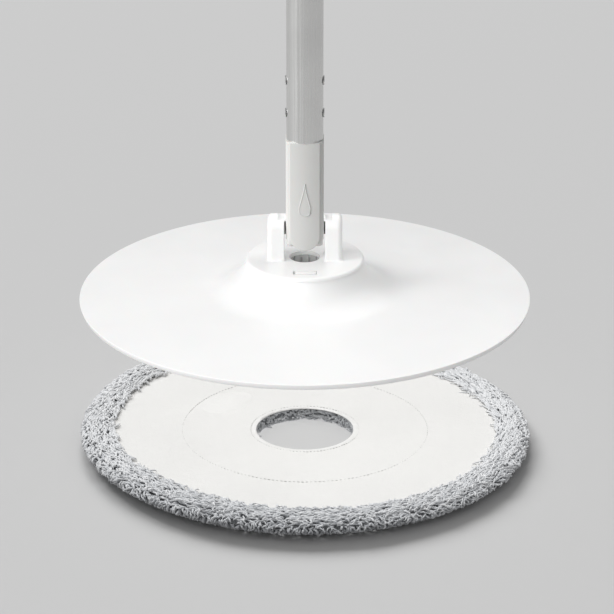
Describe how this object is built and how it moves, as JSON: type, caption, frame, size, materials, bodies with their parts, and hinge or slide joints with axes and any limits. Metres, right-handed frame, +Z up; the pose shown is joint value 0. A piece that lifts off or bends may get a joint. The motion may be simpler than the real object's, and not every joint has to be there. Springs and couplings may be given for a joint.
{
  "type": "spin mop",
  "caption": "Long-handled spin mop: tilting yoke on a round disc, telescopic pole with a press-to-spin drive, and a round microfibre pad lying below the disc.",
  "frame": {"origin": "centre of the pad's underside, on the floor, under the disc's centre", "axes": "+Z up the pole; +X along the tilt pin, towards the right ear; -Y is the front, the side of the water-drop mark"},
  "size_m": [0.314, 0.314, 1.3255],
  "materials": {
    "white_plastic": "satin moulded plastic",
    "pole_grey": "satin moulded plastic",
    "grey_plastic": "moulded plastic",
    "steel": "plain steel",
    "hook_tape": "hook tape",
    "dark_rubber": "matt",
    "tube_metal": "satin drawn tube",
    "grip_foam": "soft matt grip",
    "backing_cloth": "brushed loop fabric",
    "pad_foam": "foam",
    "pile_yarn": "chenille yarn"
  },
  "bodies": {
    "head": {"mop_disc": "white_plastic", "yoke_cap": "white_plastic", "spindle_socket": "grey_plastic", "hub_screws": "steel", "hook_ring_inner": "hook_tape", "hook_ring_outer": "hook_tape", "pivot_pin": "white_plastic", "pivot_washers": "dark_rubber"},
    "lower_pole": {"connector": "pole_grey", "lower_tube": "tube_metal", "tube_rivets": "steel", "strip_anchor": "grey_plastic", "drive_strip": "steel", "tube_collar": "pole_grey"},
    "swivel": {"swivel_collar": "pole_grey", "lever_pin": "steel"},
    "lever": {"lock_lever": "white_plastic"},
    "upper_pole": {"upper_tube": "tube_metal", "nut_housing": "grey_plastic", "drive_nut": "white_plastic", "ratchet_pawls": "white_plastic", "pawl_springs": "steel", "nut_retainer": "grey_plastic", "grip_ring": "white_plastic", "hand_grip": "grip_foam", "end_cap": "white_plastic", "cap_screw": "steel"},
    "pad": {"pad_backing": "backing_cloth", "pad_foam": "pad_foam", "pad_pile": "pile_yarn"}
  },
  "joints": [
    {"name": "pole_tilt", "type": "hinge", "parent": "head", "child": "lower_pole", "pos_m": [0, 0, 0.162], "axis": [1, 0, 0], "range_deg": [-90, 90]},
    {"name": "collar_spin", "type": "hinge", "parent": "lower_pole", "child": "swivel", "pos_m": [0, 0, 0.786], "axis": [0, 0, 1], "continuous": true},
    {"name": "lock_flip", "type": "hinge", "parent": "swivel", "child": "lever", "pos_m": [0, -0.0206, 0.838], "axis": [1, 0, 0], "range_deg": [-120, 0]},
    {"name": "grip_press", "type": "slide", "parent": "swivel", "child": "upper_pole", "axis": [0, 0, 1], "range_m": [-0.125, 0]},
    {"name": "pad_lift", "type": "slide", "parent": "head", "child": "pad", "axis": [0, 0, 1], "range_m": [0, 0.0957]}
  ],
  "couplings": [
    {"joint": "collar_spin", "follows": "grip_press", "rad_per_m": 78.54}
  ]
}
